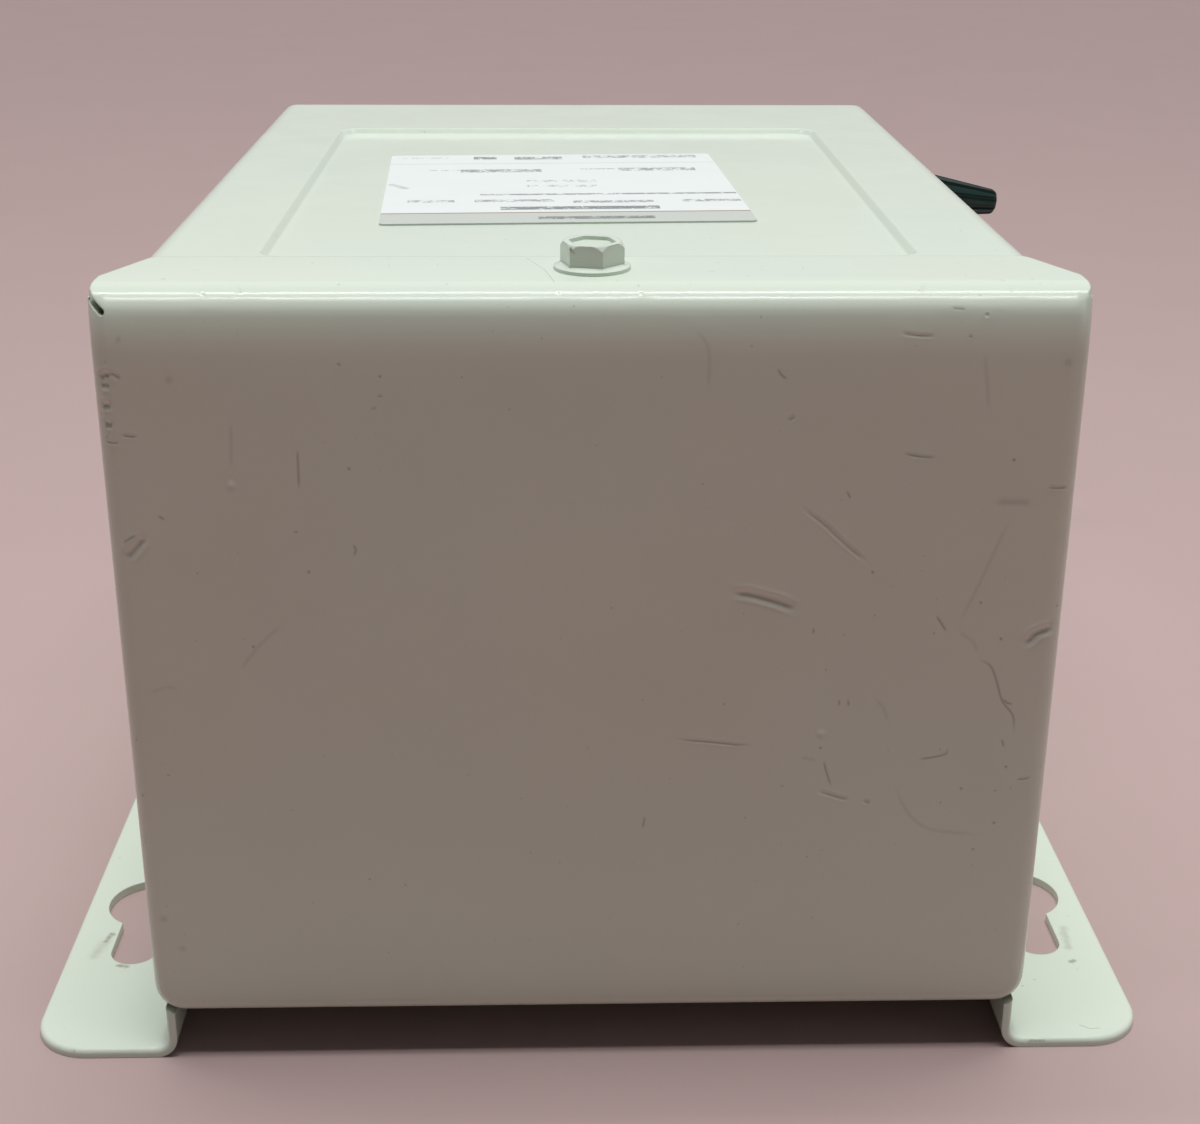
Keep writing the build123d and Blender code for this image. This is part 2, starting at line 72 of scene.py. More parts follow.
forward = Vector((math.sin(YAW) * math.cos(PITCH), math.cos(YAW) * math.cos(PITCH), -math.sin(PITCH)))
level = Vector((math.cos(YAW), -math.sin(YAW), 0))
upright = level.cross(forward)
right = math.cos(ROLL) * level + math.sin(ROLL) * upright
up = math.cos(ROLL) * upright - math.sin(ROLL) * level

camera_data = bpy.data.cameras.new("camera")
camera_data.sensor_fit = "HORIZONTAL"
camera_data.sensor_width = SENSOR_MM
camera_data.lens = SENSOR_MM * FOCAL_PIXELS / PHOTO_WIDTH
camera_data.clip_start = 0.01
camera = bpy.data.objects.new("camera", camera_data)
bpy.context.scene.collection.objects.link(camera)
turn = Matrix((right, up, -forward)).transposed().to_4x4()
camera.matrix_world = Matrix.Translation(CAMERA_PLACE) @ turn
bpy.context.scene.camera = camera
print("lens", round(camera_data.lens, 2), "mm")

# %% [markdown]
# ## Tools for node trees
#
# Every finish below is a tree of nodes, and short helpers keep the trees readable. The first starts a
# material, the second adds a node and fills its inputs, and the others add the kinds used most: noise,
# sums, smooth steps, mixed colours and bumps. Noise lies in the object's own coordinates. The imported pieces
# all sit at the origin, so those coordinates are metres in the shared frame.

# %% Helpers for node trees
def new_finish(name, roughness=0.5, metallic=0.0):
    material = bpy.data.materials.new(name)
    material.use_nodes = True
    tree = material.node_tree
    shader = tree.nodes["Principled BSDF"]
    shader.inputs["Roughness"].default_value = roughness
    shader.inputs["Metallic"].default_value = metallic
    place = add(tree, "TexCoord").outputs["Object"]
    return material, tree, shader, place


def add(tree, kind, inputs=None, **settings):
    """A new node. An input is either a value or the socket that feeds it."""
    node = tree.nodes.new("ShaderNode" + kind)
    for name, value in settings.items():
        setattr(node, name, value)
    for name, value in (inputs or {}).items():
        if isinstance(value, bpy.types.NodeSocket):
            tree.links.new(value, node.inputs[name])
        else:
            node.inputs[name].default_value = value
    return node


def noise(tree, place, grain_mm, detail=2.0, roughness=0.5):
    """A noise whose lumps are about grain_mm across."""
    inputs = {"Vector": place, "Scale": 1 / (grain_mm * MM), "Detail": detail, "Roughness": roughness}
    return add(tree, "TexNoise", inputs).outputs["Fac"]


def math_node(tree, operation, *values, clamp=False):
    node = add(tree, "Math", dict(enumerate(values)), operation=operation, use_clamp=clamp)
    return node.outputs[0]


def remap(tree, value, low, high, to_low=0.0, to_high=1.0):
    """A smooth step from to_low to to_high while the value goes from low to high."""
    names = ("Value", "From Min", "From Max", "To Min", "To Max")
    inputs = dict(zip(names, (value, low, high, to_low, to_high)))
    return add(tree, "MapRange", inputs, interpolation_type="SMOOTHSTEP").outputs["Result"]


def mix_colours(tree, share, first, second):
    """First where the share is 0 and second where it is 1. A colour is three numbers or a socket."""
    node = add(tree, "Mix", data_type="RGBA")
    sockets = [s for s in node.inputs if s.type == "RGBA"]
    tree.links.new(share, node.inputs["Factor"])
    for socket, colour in zip(sockets, (first, second)):
        if isinstance(colour, bpy.types.NodeSocket):
            tree.links.new(colour, socket)
        else:
            socket.default_value = (*colour, 1)
    return next(s for s in node.outputs if s.type == "RGBA")


def bump(tree, shader, height, depth_mm, strength=1.0, normal=None):
    inputs = {"Height": height, "Distance": depth_mm * MM, "Strength": strength}
    if normal is not None:
        inputs["Normal"] = normal
    tree.links.new(add(tree, "Bump", inputs).outputs["Normal"], shader.inputs["Normal"])


# %% [markdown]
# ## The stiff lead
#
# One green lead leaves the far end through a grommet and stands up past the right-hand side, with a twist-on
# connector on its end. It is stiff wire, so it keeps its bend. A NURBS curve with the route's points as its
# control points has no kinks, and its bevel gives the round insulation. A curve's box counts the radius
# of every point, so the points carry the lead's own radius and the bevel only multiplies it by one.

# %% The lead outside the case
LEAD_DIAMETER = 3.8
LEAD_ROUTE = (
    (45.0, 90.5, 65.0),
    (45.0, 105.5, 65.0),
    (48.0, 119.0, 71.5),
    (56.0, 130.0, 83.0),
    (69.5, 136.0, 94.6),
    (85.0, 136.5, 92.9),
)

lead_curve = bpy.data.curves.new("ground_lead_sleeve", "CURVE")
lead_curve.dimensions = "3D"
lead_spline = lead_curve.splines.new("NURBS")
lead_spline.points.add(len(LEAD_ROUTE) - 1)
for point, place_mm in zip(lead_spline.points, LEAD_ROUTE):
    point.co = (*(Vector(place_mm) * MM), 1)
    point.radius = LEAD_DIAMETER / 2 * MM
lead_spline.order_u = 3
lead_spline.use_endpoint_u = True
lead_spline.resolution_u = 16
lead_curve.bevel_depth = 1.0
lead_curve.bevel_resolution = 6
lead_curve.use_fill_caps = True
lead = bpy.data.objects.new("ground_lead_sleeve", lead_curve)
bpy.context.scene.collection.objects.link(lead)
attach(lead, "root")
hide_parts("ground_lead")

# %% [markdown]
# ## Case paint
#
# The sheets are sprayed off-white with a touch of green, baked to a half gloss. Sprayed paint is never
# quite flat: it has a faint orange peel, and its colour drifts a little over a few fingers' width. Both come
# from noise. A Bevel node rounds the light on the sheared edges, as a coat of paint does.

# %% The paint, what soils it, and painted bounce light
PAINT_COOL = (0.665, 0.765, 0.675)
PAINT_WARM = (0.705, 0.770, 0.655)
SOIL = (0.075, 0.062, 0.047)
OLIVE = (0.17, 0.14, 0.07)
# The warm colour of the bounce light that is painted onto the cover's near face.
PAINTED_BOUNCE_COLOUR = (0.42, 0.25, 0.19)
EDGE_MM = 0.35
DRIFT_MM = 45
DUST_MM, DUST_FROM, DUST_FULL, DUST_MOST = 1.1, 0.74, 0.82, 0.25
GLOSS_MM = 14
PEEL_MM, PEEL_DEPTH_MM, PEEL_STRENGTH = 1.6, 0.02, 0.2
GLOSSIEST, DULLEST = 0.12, 0.19
# In radii of a smudge: the grain of its edge, and the distances where it is full and where it is gone.
SMUDGE_GRAIN, SMUDGE_FULL, SMUDGE_GONE = 0.8, 0.45, 1.35


def paint(name, soil=None, soil_colour=SOIL, painted_bounce=None):
    """Half-gloss case paint. Two optional functions add masks: soil where it is dirty, and another where warm
    bounce light is painted into the colour.
    """
    material, tree, shader, place = new_finish(name)
    colour = mix_colours(tree, noise(tree, place, DRIFT_MM, 3), PAINT_COOL, PAINT_WARM)
    if painted_bounce is not None:
        # Painted light: warm bounce light mixed into the colour where that mask asks for it.
        colour = mix_colours(tree, painted_bounce(tree, place), colour, PAINTED_BOUNCE_COLOUR)
    dust = remap(tree, noise(tree, place, DUST_MM, 1), DUST_FROM, DUST_FULL, 0.0, DUST_MOST)
    colour = mix_colours(tree, dust, colour, SOIL)
    if soil is not None:
        colour = mix_colours(tree, soil(tree, place), colour, soil_colour)
    tree.links.new(colour, shader.inputs["Base Color"])
    gloss = noise(tree, place, GLOSS_MM, 4, 0.6)
    tree.links.new(remap(tree, gloss, 0.25, 0.75, GLOSSIEST, DULLEST), shader.inputs["Roughness"])
    edge = add(tree, "Bevel", {"Radius": EDGE_MM * MM}, samples=4).outputs["Normal"]
    bump(tree, shader, noise(tree, place, PEEL_MM, 2), PEEL_DEPTH_MM, PEEL_STRENGTH, edge)
    return material


def smudge(tree, place, start, end, radius, strength):
    """A mask round the line from start to end, in millimetres, with a ragged edge."""
    start = Vector(start) * MM
    run = Vector(end) * MM - start
    from_start = add(tree, "VectorMath", {0: place, 1: start}, operation="SUBTRACT").outputs["Vector"]
    share = add(tree, "VectorMath", {0: from_start, 1: run / run.length_squared}, operation="DOT_PRODUCT")
    share = math_node(tree, "ADD", share.outputs["Value"], 0.0, clamp=True)
    foot = add(tree, "VectorMath", {0: run, "Scale": share}, operation="SCALE").outputs["Vector"]
    gap = add(tree, "VectorMath", {0: from_start, 1: foot}, operation="DISTANCE").outputs["Value"]
    grain = noise(tree, place, radius * SMUDGE_GRAIN, 3)
    ragged = math_node(tree, "MULTIPLY_ADD", grain, radius * MM, gap)
    return remap(tree, ragged, SMUDGE_FULL * radius * MM, SMUDGE_GONE * radius * MM, strength, 0.0)


def smudges(marks):
    """The soil function for a list of smudges: the strongest of them at each point."""
    def soil(tree, place):
        mask = None
        for mark in marks:
            one = smudge(tree, place, *mark)
            mask = one if mask is None else math_node(tree, "MAXIMUM", mask, one)
        return mask
    return soil


# %% [markdown]
# ## Marks on the folded sheet and the screw
#
# Hanging and handling have left olive stains beside the keyholes, scuffs on the flanges' near edges, one
# bent scratch, and a chip on the head of the cover screw. Each is a short line with a radius. The nodes
# work out how far a point is from the line, and noise makes the edge ragged. That needs no picture and no
# extra mesh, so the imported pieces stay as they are.

# %% Paint on the sheets and screws
case_low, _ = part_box("case_wrapper")
cover_low, cover_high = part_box("top_cover")
screw_low, screw_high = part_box("cover_screw")
SHEET = 1.5
flange_top = SHEET
near_edge = case_low.y / MM
# Start, end, radius and strength of each mark.
wrapper_marks = (
    ((-82.3, -59.4, flange_top), (-82.8, -61.6, flange_top), 1.1, 0.60),
    ((-82.8, -61.6, flange_top), (-83.8, -66.0, flange_top), 1.9, 0.22),
    ((-79.0, -68.9, flange_top), (-77.6, -69.2, flange_top), 0.9, 0.60),
    ((82.9, -60.5, flange_top), (82.3, -66.4, flange_top), 1.5, 0.24),
    ((82.2, -70.5, flange_top), (81.6, -70.8, flange_top), 0.9, 0.60),
    ((-83.6, -90.0, 1.0), (-81.0, -91.6, 1.0), 0.5, 0.45),
    ((69.4, near_edge, 1.1), (71.8, near_edge, 1.2), 0.45, 0.6),
    ((78.4, -88.4, flange_top), (79.8, -89.4, flange_top), 0.16, 0.6),
    ((79.8, -89.4, flange_top), (81.4, -89.3, flange_top), 0.16, 0.6),
)
chip = Vector((-3.0, screw_low.y / MM + 2.3, screw_high.z / MM - 0.55))
screw_marks = ((chip, chip + Vector((0.4, -0.1, -0.4)), 0.5, 0.95),)

paint_plain = paint("case_paint")
paint_wrapper = paint("case_paint_flanges", smudges(wrapper_marks), OLIVE)
paint_screw = paint("case_paint_screw", smudges(screw_marks))
finishes = {
    "case_wrapper": paint_wrapper,
    "back_plate": paint_plain,
    "bottom_plate": paint_plain,
    "bottom_plate_screws": paint_plain,
    "cover_screw": paint_screw,
}
print(len(wrapper_marks), "marks on the flanges")

# %% [markdown]
# ## Dents and scratches in the top cover
#
# The end towards the camera has had a hard life. A dent or a deep scratch catches the light because the
# sheet itself is pressed in, so these are made in the mesh: the cover is copied, cut finer where a mark
# lies, and its skin is pushed in along each mark. Fine dark scratches are also kept as a number on every
# vertex, which the paint reads. Places are x from the middle of the case and z above the wall.

# %% Where the marks are
# Half width, depth and darkness of each kind of mark, in millimetres and from 0 to 1.
KINDS = {
    "dent": (0.58, 0.36, 0.0),
    "edge dent": (0.46, 0.32, 0.0),
    "groove": (0.30, 0.17, 0.0),
    "crease": (0.22, 0.14, 0.04),
    "bump": (0.50, -0.14, 0.0),
    "chip": (0.22, 0.13, 0.0),
    "nick": (0.18, 0.05, 0.05),
    "pit": (0.18, 0.08, 0.5),
    "dark": (0.15, 0.05, 0.4),
    "rub": (0.28, 0.01, 0.12),
    "smear": (0.50, 0.05, 0.18),
}
FACE_MARKS = {
    "dent": [
        [(19.6, 78.7), (22.0, 78.6), (24.6, 77.9), (27.0, 77.1), (29.1, 76.1)],
        [(62.0, 70.7), (63.0, 71.1), (63.8, 72.1), (66.3, 73.0)],
        [(-65.4, 84.5), (-64.1, 85.9), (-62.6, 87.7)],
    ],
    "edge dent": [
        [(-66.5, 110.3), (-65.9, 111.0), (-65.2, 110.9)],
        [(-66.7, 109.5), (-65.4, 109.6)],
        [(-66.7, 106.6), (-65.5, 106.7)],
        [(-66.6, 104.0), (-65.5, 104.0)],
    ],
    "groove": [
        [(29.2, 91.5), (32.2, 89.3), (34.9, 86.7), (38.6, 83.4)],
        [(33.6, 46.7), (38.2, 45.2)],
        [(40.5, 45.0), (41.3, 44.7)],
        [(-65.1, 111.3), (-64.6, 111.1), (-63.9, 110.5)],
        [(26.7, 104.3), (27.5, 105.0)],
    ],
    "nick": [
        [(-52.9, 122.0), (-52.0, 121.2)],
        [(-47.8, 122.2), (-47.2, 121.6)],
        [(44.1, 121.8), (45.0, 122.3)],
        [(-4.8, 121.6)], [(6.3, 121.5)], [(56.5, 121.9)],
    ],
    "crease": [
        [(12.5, 55.5), (17.8, 55.0), (23.1, 54.3)],
        [(-64.3, 102.5), (-62.4, 102.3)],
        [(-66.7, 101.5), (-64.8, 101.4)],
        [(41.6, 116.5), (43.8, 116.2), (46.1, 116.1)],
        [(42.9, 99.5), (45.1, 99.1), (47.4, 98.9)],
        [(63.4, 94.4), (66.2, 94.3)],
        [(63.2, 48.3), (65.1, 48.6)],
    ],
    "bump": [[(-50.0, 95.2)], [(33.5, 56.2)]],
    "chip": [
        [(-34.4, 112.4)], [(-29.0, 110.7)], [(-29.0, 108.0)], [(-30.1, 106.0), (-29.8, 106.5)],
        [(53.0, 118.9)], [(50.9, 116.0)], [(-41.5, 88.3)],
    ],
    "pit": [
        [(39.6, 81.8)], [(58.3, 98.5)], [(55.4, 77.0)], [(58.8, 71.3)], [(61.3, 50.5)], [(33.5, 53.9)],
        [(-33.7, 97.6)], [(-40.0, 82.3)], [(-48.5, 70.8)], [(54.9, 46.9)], [(60.3, 41.0)], [(57.5, 36.5)],
    ],
    "dark": [
        [(-65.6, 86.7), (-63.7, 88.0)],
        [(48.2, 119.8), (50.1, 119.6)],
        [(24.9, 111.7), (25.4, 110.8), (26.2, 110.2)],
        [(35.3, 94.0), (35.8, 92.9)],
        [(-40.6, 100.5), (-40.7, 94.7)],
        [(31.6, 73.2), (31.6, 72.3)],
        [(49.1, 75.1), (50.8, 72.5)],
        [(55.6, 68.2), (57.6, 67.0), (58.7, 64.6), (59.8, 61.4), (61.6, 58.9), (62.0, 56.0)],
        [(59.9, 61.7), (60.6, 61.0), (61.4, 60.9)],
        [(60.3, 55.1), (60.7, 53.8)],
        [(35.9, 61.7), (35.9, 60.8)],
        [(37.2, 61.7), (37.3, 60.7)],
        [(34.1, 51.8), (34.6, 49.9), (35.4, 47.5)],
        [(48.2, 51.9), (49.9, 52.1), (52.1, 52.7), (52.4, 53.7)],
        [(7.8, 42.6), (7.5, 40.7)],
        [(-60.3, 90.8), (-59.6, 90.2)],
        [(-33.6, 86.4), (-33.3, 85.6), (-33.6, 84.7)],
    ],
    "rub": [
        [(13.5, 117.2), (15.2, 115.0), (15.6, 112.4), (15.5, 108.7)],
        [(58.5, 89.9), (57.2, 86.2), (54.6, 79.0), (52.4, 73.6)],
        [(53.0, 113.8), (54.2, 105.7)],
        [(-49.4, 104.5), (-49.8, 97.8)],
        [(52.5, 72.6), (54.8, 70.8), (55.5, 69.1)],
        [(30.7, 52.3), (33.0, 51.9)],
        [(45.0, 47.5), (46.2, 44.6), (48.0, 41.9), (51.2, 39.9), (58.4, 39.0)],
        [(41.1, 61.9), (42.4, 60.4), (43.3, 58.1)],
        [(-44.2, 74.4), (-47.8, 70.8), (-50.7, 67.1)],
        [(-63.8, 63.7), (-61.3, 64.5), (-59.8, 64.3)],
    ],
    "smear": [
        [(56.1, 92.2), (61.5, 92.1)],
        [(63.9, 112.5), (65.0, 112.1)],
        [(-63.9, 115.9), (-63.4, 115.7)],
        [(-57.3, 110.3)],
        [(-62.6, 20.2)],
        [(-65.0, 25.5)],
    ],
}
print(sum(len(lines) for lines in FACE_MARKS.values()), "marks on the near face")

# %% [markdown]
# Two helpers measure those marks. The first rounds a few chosen points into a flowing line, with a
# Catmull-Rom curve. The second gives the distance of many points to a line at once, with numpy, and how far
# along the line each of them lies, so that a mark can fade at its ends.

# %% Lines and distances
CURVE_STEPS = 6


def flowing(points):
    """The chosen points with a Catmull-Rom curve between them."""
    points = np.array(points, float)
    if len(points) < 3:
        return points
    padded = np.vstack([2 * points[0] - points[1], points, 2 * points[-1] - points[-2]])
    line = []
    for a, b, c, d in zip(padded, padded[1:], padded[2:], padded[3:]):
        for t in np.arange(CURVE_STEPS) / CURVE_STEPS:
            line.append(b + t * (c - a) / 2 + t * t * (2 * a - 5 * b + 4 * c - d) / 2
                        + t ** 3 * (3 * b - a - 3 * c + d) / 2)
    line.append(points[-1])
    return np.array(line)


def measure(points, line):
    """Each point's distance to the line, and its place along it from 0 to 1."""
    if len(line) == 1:
        return np.linalg.norm(points - line[0], axis=1), np.full(len(points), 0.5)
    runs = np.linalg.norm(np.diff(line, axis=0), axis=1)
    starts = np.concatenate([[0], np.cumsum(runs)])
    nearest = np.full(len(points), np.inf)
    along = np.zeros(len(points))
    for start, end, length, before in zip(line, line[1:], runs, starts):
        step = (end - start) / length
        share = np.clip((points - start) @ step, 0, length)
        gap = np.linalg.norm(points - start - share[:, None] * step, axis=1)
        closer = gap < nearest
        nearest[closer] = gap[closer]
        along[closer] = before + share[closer]
    return nearest, along / starts[-1]


face_lines = [(flowing(points), *KINDS[kind]) for kind, group in FACE_MARKS.items() for points in group]
print(sum(len(line) for line, *_ in face_lines), "points on their lines")

# %% [markdown]
# Now the copy of the cover. Merging the doubled vertices and dissolving the flat triangles gives clean faces
# again, and cuts on a grid turn the big face into even squares. Then, only close to a mark, the long edges
# are halved, level by level, until they are finer than the mark is wide. A shallow mark needs fewer cuts.

# %% A finer copy of the cover
GRID_MM = 2.0
FLAT_ANGLE = math.radians(0.5)
FINEST_MM = 0.1
LEVELS = 5
# A mark deeper than this counts as deep. Then, for deep and shallow marks: how many half widths on each
# side of the line are cut, and how many faces go into a half width.
DEEP_MM = 0.1
DEEP_CUTS = (2.5, 4)
SHALLOW_CUTS = (2.0, 2)
# An edge is halved when it is this many times longer than wanted. A face is on the near side when its
# normal's y is below FACES_NEAR. The last two are in metres.
SPARE_LENGTH = 1.5
FACES_NEAR = -0.05
MERGE_DISTANCE, CUT_DISTANCE = 1e-6, 1e-8


def cut_grid(bm, axis, low, high):
    normal = Vector((0, 0, 0))
    normal[axis] = 1
    for place in np.arange(low + GRID_MM / 2, high, GRID_MM):
        everything = bm.verts[:] + bm.edges[:] + bm.faces[:]
        bmesh.ops.bisect_plane(
            bm, geom=everything, plane_co=normal * place * MM, plane_no=normal, dist=CUT_DISTANCE)


def too_long(bm, faces, wanted):
    """The edges to halve. A triangle has none, one or all three of them, so no face gets points in a row."""
    limits = wanted * SPARE_LENGTH * MM
    long = {e for f, limit in zip(faces, limits) for e in f.edges if e.calc_length() > limit}
    triangles = [f for f in bm.faces if len(f.verts) == 3]
    count = 0
    while count < len(long):
        count = len(long)
        for face in triangles:
            if sum(e in long for e in face.edges) == 2:
                long.update(face.edges)
    return [e for e in bm.edges if e in long]


def refine(bm):
    """Halves the edges of the outside faces on a mark, where they are still coarser than it."""
    for _ in range(LEVELS):
        faces = [f for f in bm.faces if f.normal.y < FACES_NEAR]
        centres = np.array([f.calc_center_median() for f in faces]) / MM
        sizes = np.array([max(e.calc_length() for e in f.edges) for f in faces]) / MM
        wanted = np.full(len(faces), np.inf)
        for line, width, depth, *_ in face_lines:
            gap = measure(centres[:, [0, 2]], line)[0]
            reach, cuts = DEEP_CUTS if depth > DEEP_MM else SHALLOW_CUTS
            on_mark = gap - sizes / 2 < reach * width
            wanted[on_mark] = np.minimum(wanted[on_mark], max(FINEST_MM, width / cuts))
        halved = too_long(bm, faces, wanted)
        bmesh.ops.subdivide_edges(bm, edges=halved, cuts=1, use_grid_fill=True, use_single_edge=True)
        bmesh.ops.triangulate(bm, faces=[f for f in bm.faces if len(f.verts) > 4])


def finer_cover():
    bm = bmesh.new()
    bm.from_mesh(nodes["top_cover"].data)
    bmesh.ops.remove_doubles(bm, verts=bm.verts, dist=MERGE_DISTANCE)
    bmesh.ops.dissolve_limit(bm, angle_limit=FLAT_ANGLE, verts=bm.verts, edges=bm.edges)
    cut_grid(bm, 0, cover_low.x / MM, cover_high.x / MM)
    cut_grid(bm, 2, cover_low.z / MM, cover_high.z / MM)
    refine(bm)
    bm.normal_update()
    return bm


# %% [markdown]
# A mark's section is a bell curve: deepest on its line and gone at two half widths, with a low rim round it,
# because the metal has to go somewhere. The sheet next to a fold is never quite flat either: the face leans
# back a little towards its edges, which is what makes the soft band of light under the lip. The lean fades
# away from each edge as an exponential does, so it has no step anywhere. It moves the outer skin only, and
# it dies out along the lip and the skirts.

# %% Press the marks into the skin
FOLD_RADIUS = 3.0
TOP_LEAN, TOP_REACH = 2.3, 2.8
SIDE_LEAN, SIDE_REACH = 0.35, 3.0
LEAN_END = 8.0
# How high a rim is beside its mark's depth, where it lies and how wide it is, in half widths of the mark.
RIM_SHARE, RIM_AT, RIM_WIDTH = 0.22, 1.9, 0.6
# A mark fades over this share of its length at each end, but not below END_LEAST.
END_FADE, END_LEAST = 0.18, 0.12
# How far a vertex must face the near side to count as outside, and to be pushed in full.
OUTSIDE_FROM, FULL_FROM = 0.02, 0.6
SHARP_ANGLE = math.radians(40)


def lean(places):
    """How far back each place of the cover moves, in millimetres."""
    low, high = np.array(cover_low) / MM, np.array(cover_high) / MM
    x, y, z = places.T
    gaps = (x - low[0], high[0] - x, z - low[2], high[2] - z)
    depths = (SIDE_LEAN, SIDE_LEAN, SIDE_LEAN, TOP_LEAN)
    reaches = (SIDE_REACH, SIDE_REACH, SIDE_REACH, TOP_REACH)
    back = np.sqrt(sum((d * np.exp(-gap / r)) ** 2 for gap, d, r in zip(gaps, depths, reaches)))
    outward = [np.clip(FOLD_RADIUS - gap, 0, None) for gap in (*gaps, y - low[1])]
    skin = np.clip((np.linalg.norm(outward, axis=0) - FOLD_RADIUS + SHEET) / SHEET, 0, 1)
    fade = np.clip((low[1] + LEAN_END - y) / (LEAN_END - FOLD_RADIUS), 0, 1)
    return back * skin * fade


def press(bm):
    """Moves the outside of the near face in along its marks, and gives each vertex its darkness."""
    places = np.array([v.co for v in bm.verts]) / MM
    normals = np.array([v.normal for v in bm.verts])
    outside = (normals[:, 1] < -OUTSIDE_FROM) & (places[:, 1] < cover_low.y / MM + FOLD_RADIUS)
    facing = np.clip(-normals[outside, 1] / FULL_FROM, 0, 1)
    flat = places[outside][:, [0, 2]]
    push = np.zeros(len(flat))
    dark = np.zeros(len(flat))
    for line, width, depth, darkness in face_lines:
        gap, along = measure(flat, line)
        ends = np.clip(np.minimum(along, 1 - along) / END_FADE, END_LEAST, 1)
        bell = np.exp(-(gap / width) ** 2)
        rim = np.exp(-((gap - RIM_AT * width) / (RIM_WIDTH * width)) ** 2)
        push += depth * ends * (bell - RIM_SHARE * rim)
        dark = np.maximum(dark, darkness * ends * bell)
    back = lean(places)
    places[outside] -= normals[outside] * (push * facing)[:, None]
    places[:, 1] += back
    darkness = np.zeros(len(places))
    darkness[outside] = dark
    for vertex, place_mm in zip(bm.verts, places):
        vertex.co = Vector(place_mm) * MM
    return darkness


cover_bm = finer_cover()
cover_dark = press(cover_bm)
cover_mesh = bpy.data.meshes.new("top_cover_dented")
cover_bm.to_mesh(cover_mesh)
cover_bm.free()
for leftover in [a.name for a in cover_mesh.attributes if a.name == "custom_normal"]:
    cover_mesh.attributes.remove(cover_mesh.attributes[leftover])
cover_mesh.shade_smooth()
cover_mesh.set_sharp_from_angle(angle=SHARP_ANGLE)
soil_layer = cover_mesh.attributes.new("soil", "FLOAT", "POINT")
soil_layer.data.foreach_set("value", cover_dark.astype(np.float32))
cover = bpy.data.objects.new("top_cover_dented", cover_mesh)
bpy.context.scene.collection.objects.link(cover)
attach(cover, "root")
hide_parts("top_cover")
print("cover:", sum(len(face.vertices) - 2 for face in cover_mesh.polygons), "triangles")

# %% [markdown]
# In the photo the near face looks warmer than the rest, because a red cloth under it throws light up at it.
# The cloth is not built, so part of that warm light is painted into the colour of the cover's near face as
# painted bounce light. It starts below the lip's fold, thins out low down, and stops where the sheet turns.
# With its least and its most share both at 0, the face has the plain paint of the other sheets.

# %% Paint on the cover
LIP_Z = cover_high.z / MM
lip_marks = (
    ((-9.2, -73.2, LIP_Z), (-6.6, -80.8, LIP_Z), 0.14, 0.30),
    ((-6.6, -80.8, LIP_Z), (-5.0, -89.7, LIP_Z), 0.14, 0.40),
    ((-58.4, -85.9, LIP_Z), (-58.1, -85.9, LIP_Z), 0.25, 0.7),
    ((27.1, -88.8, LIP_Z), (27.4, -88.8, LIP_Z), 0.22, 0.6),
)
# Where the painted warm bounce light starts and is full below the lip, how far up it grows, and its least and
# most share.
PAINTED_BOUNCE_START, PAINTED_BOUNCE_FULL, PAINTED_BOUNCE_RISE = 3, 10, 60
PAINTED_BOUNCE_LEAST, PAINTED_BOUNCE_MOST = 0.16, 0.32
PAINTED_BOUNCE_CLOUD_MM = 40


def cover_soil(tree, place):
    pressed = add(tree, "Attribute", attribute_name="soil").outputs["Fac"]
    return math_node(tree, "MAXIMUM", pressed, smudges(lip_marks)(tree, place))


# Painted light: the share of warm bounce light painted into the near face. It fades in below the lip's fold
# and grows higher up.
def painted_cover_bounce(tree, place):
    parts = add(tree, "SeparateXYZ", {"Vector": place})
    near = remap(tree, parts.outputs["Y"], cover_low.y + MM, cover_low.y + FOLD_RADIUS * MM, 1.0, 0.0)
    height = parts.outputs["Z"]
    full, start = cover_high.z - PAINTED_BOUNCE_FULL * MM, cover_high.z - PAINTED_BOUNCE_START * MM
    below = remap(tree, height, full, start, 1.0, 0.0)
    share = remap(tree, height, cover_low.z, cover_low.z + PAINTED_BOUNCE_RISE * MM, PAINTED_BOUNCE_LEAST, PAINTED_BOUNCE_MOST)
    cloud = remap(tree, noise(tree, place, PAINTED_BOUNCE_CLOUD_MM, 3), 0.3, 0.7, 0.94, 1.06)
    share = math_node(tree, "MULTIPLY", share, cloud)
    return math_node(tree, "MULTIPLY", share, math_node(tree, "MULTIPLY", near, below))


cover_mesh.materials.append(paint("case_paint_cover", cover_soil, painted_bounce=painted_cover_bounce))
print(len(lip_marks), "marks on the lip, film up to", PAINTED_BOUNCE_MOST)

# %% [markdown]
# ## The label
#
# A foil label lies in the pressed panel, a little crooked: a white field, a grey strip at its near edge and a
# thin brown line between them. Its words are left out. What stands in their place is plain: short bars in
# rows, broken up by noise, as print looks from a step away. The bars are worked out in the label's own
# coordinates, which a Mapping node turns to the label's skew.

# %% The label's print
LABEL_MIDDLE = (-4.2, -3.2)
LABEL_SKEW = math.radians(2.6)
LABEL_WHITE = (0.79, 0.85, 0.83)
LABEL_SHADE = (0.75, 0.81, 0.80)
LABEL_STRIP = (0.55, 0.60, 0.55)
LABEL_LINE = (0.30, 0.16, 0.13)
LABEL_INK = (0.10, 0.11, 0.12)
STRIP_EDGE, STRIP_LINE = -24.4, 0.3
RULE_ROW, RULE_HALF, RULE_INK = 23.0, 0.18, 0.35
# Scale of the two noises that break up the bars, and the share of each.
WORD_SCALE, STROKE_SCALE = 0.55, 2.4
WORD_SHARE, STROKE_SHARE = 0.45, 0.55
# The noise where a bar starts and where it is full, both lower the denser its row is.
BAR_FROM, BAR_FULL, BAR_DROP = 0.80, 0.88, 0.55
PAPER_MM = 9
FOIL_MM, FOIL_DEPTH_MM, FOIL_STRENGTH = 3.5, 0.02, 0.3
LABEL_STAIN = ((-34.0, -2.6, 120.0), (-31.4, -6.2, 120.0), 1.4, 0.4)
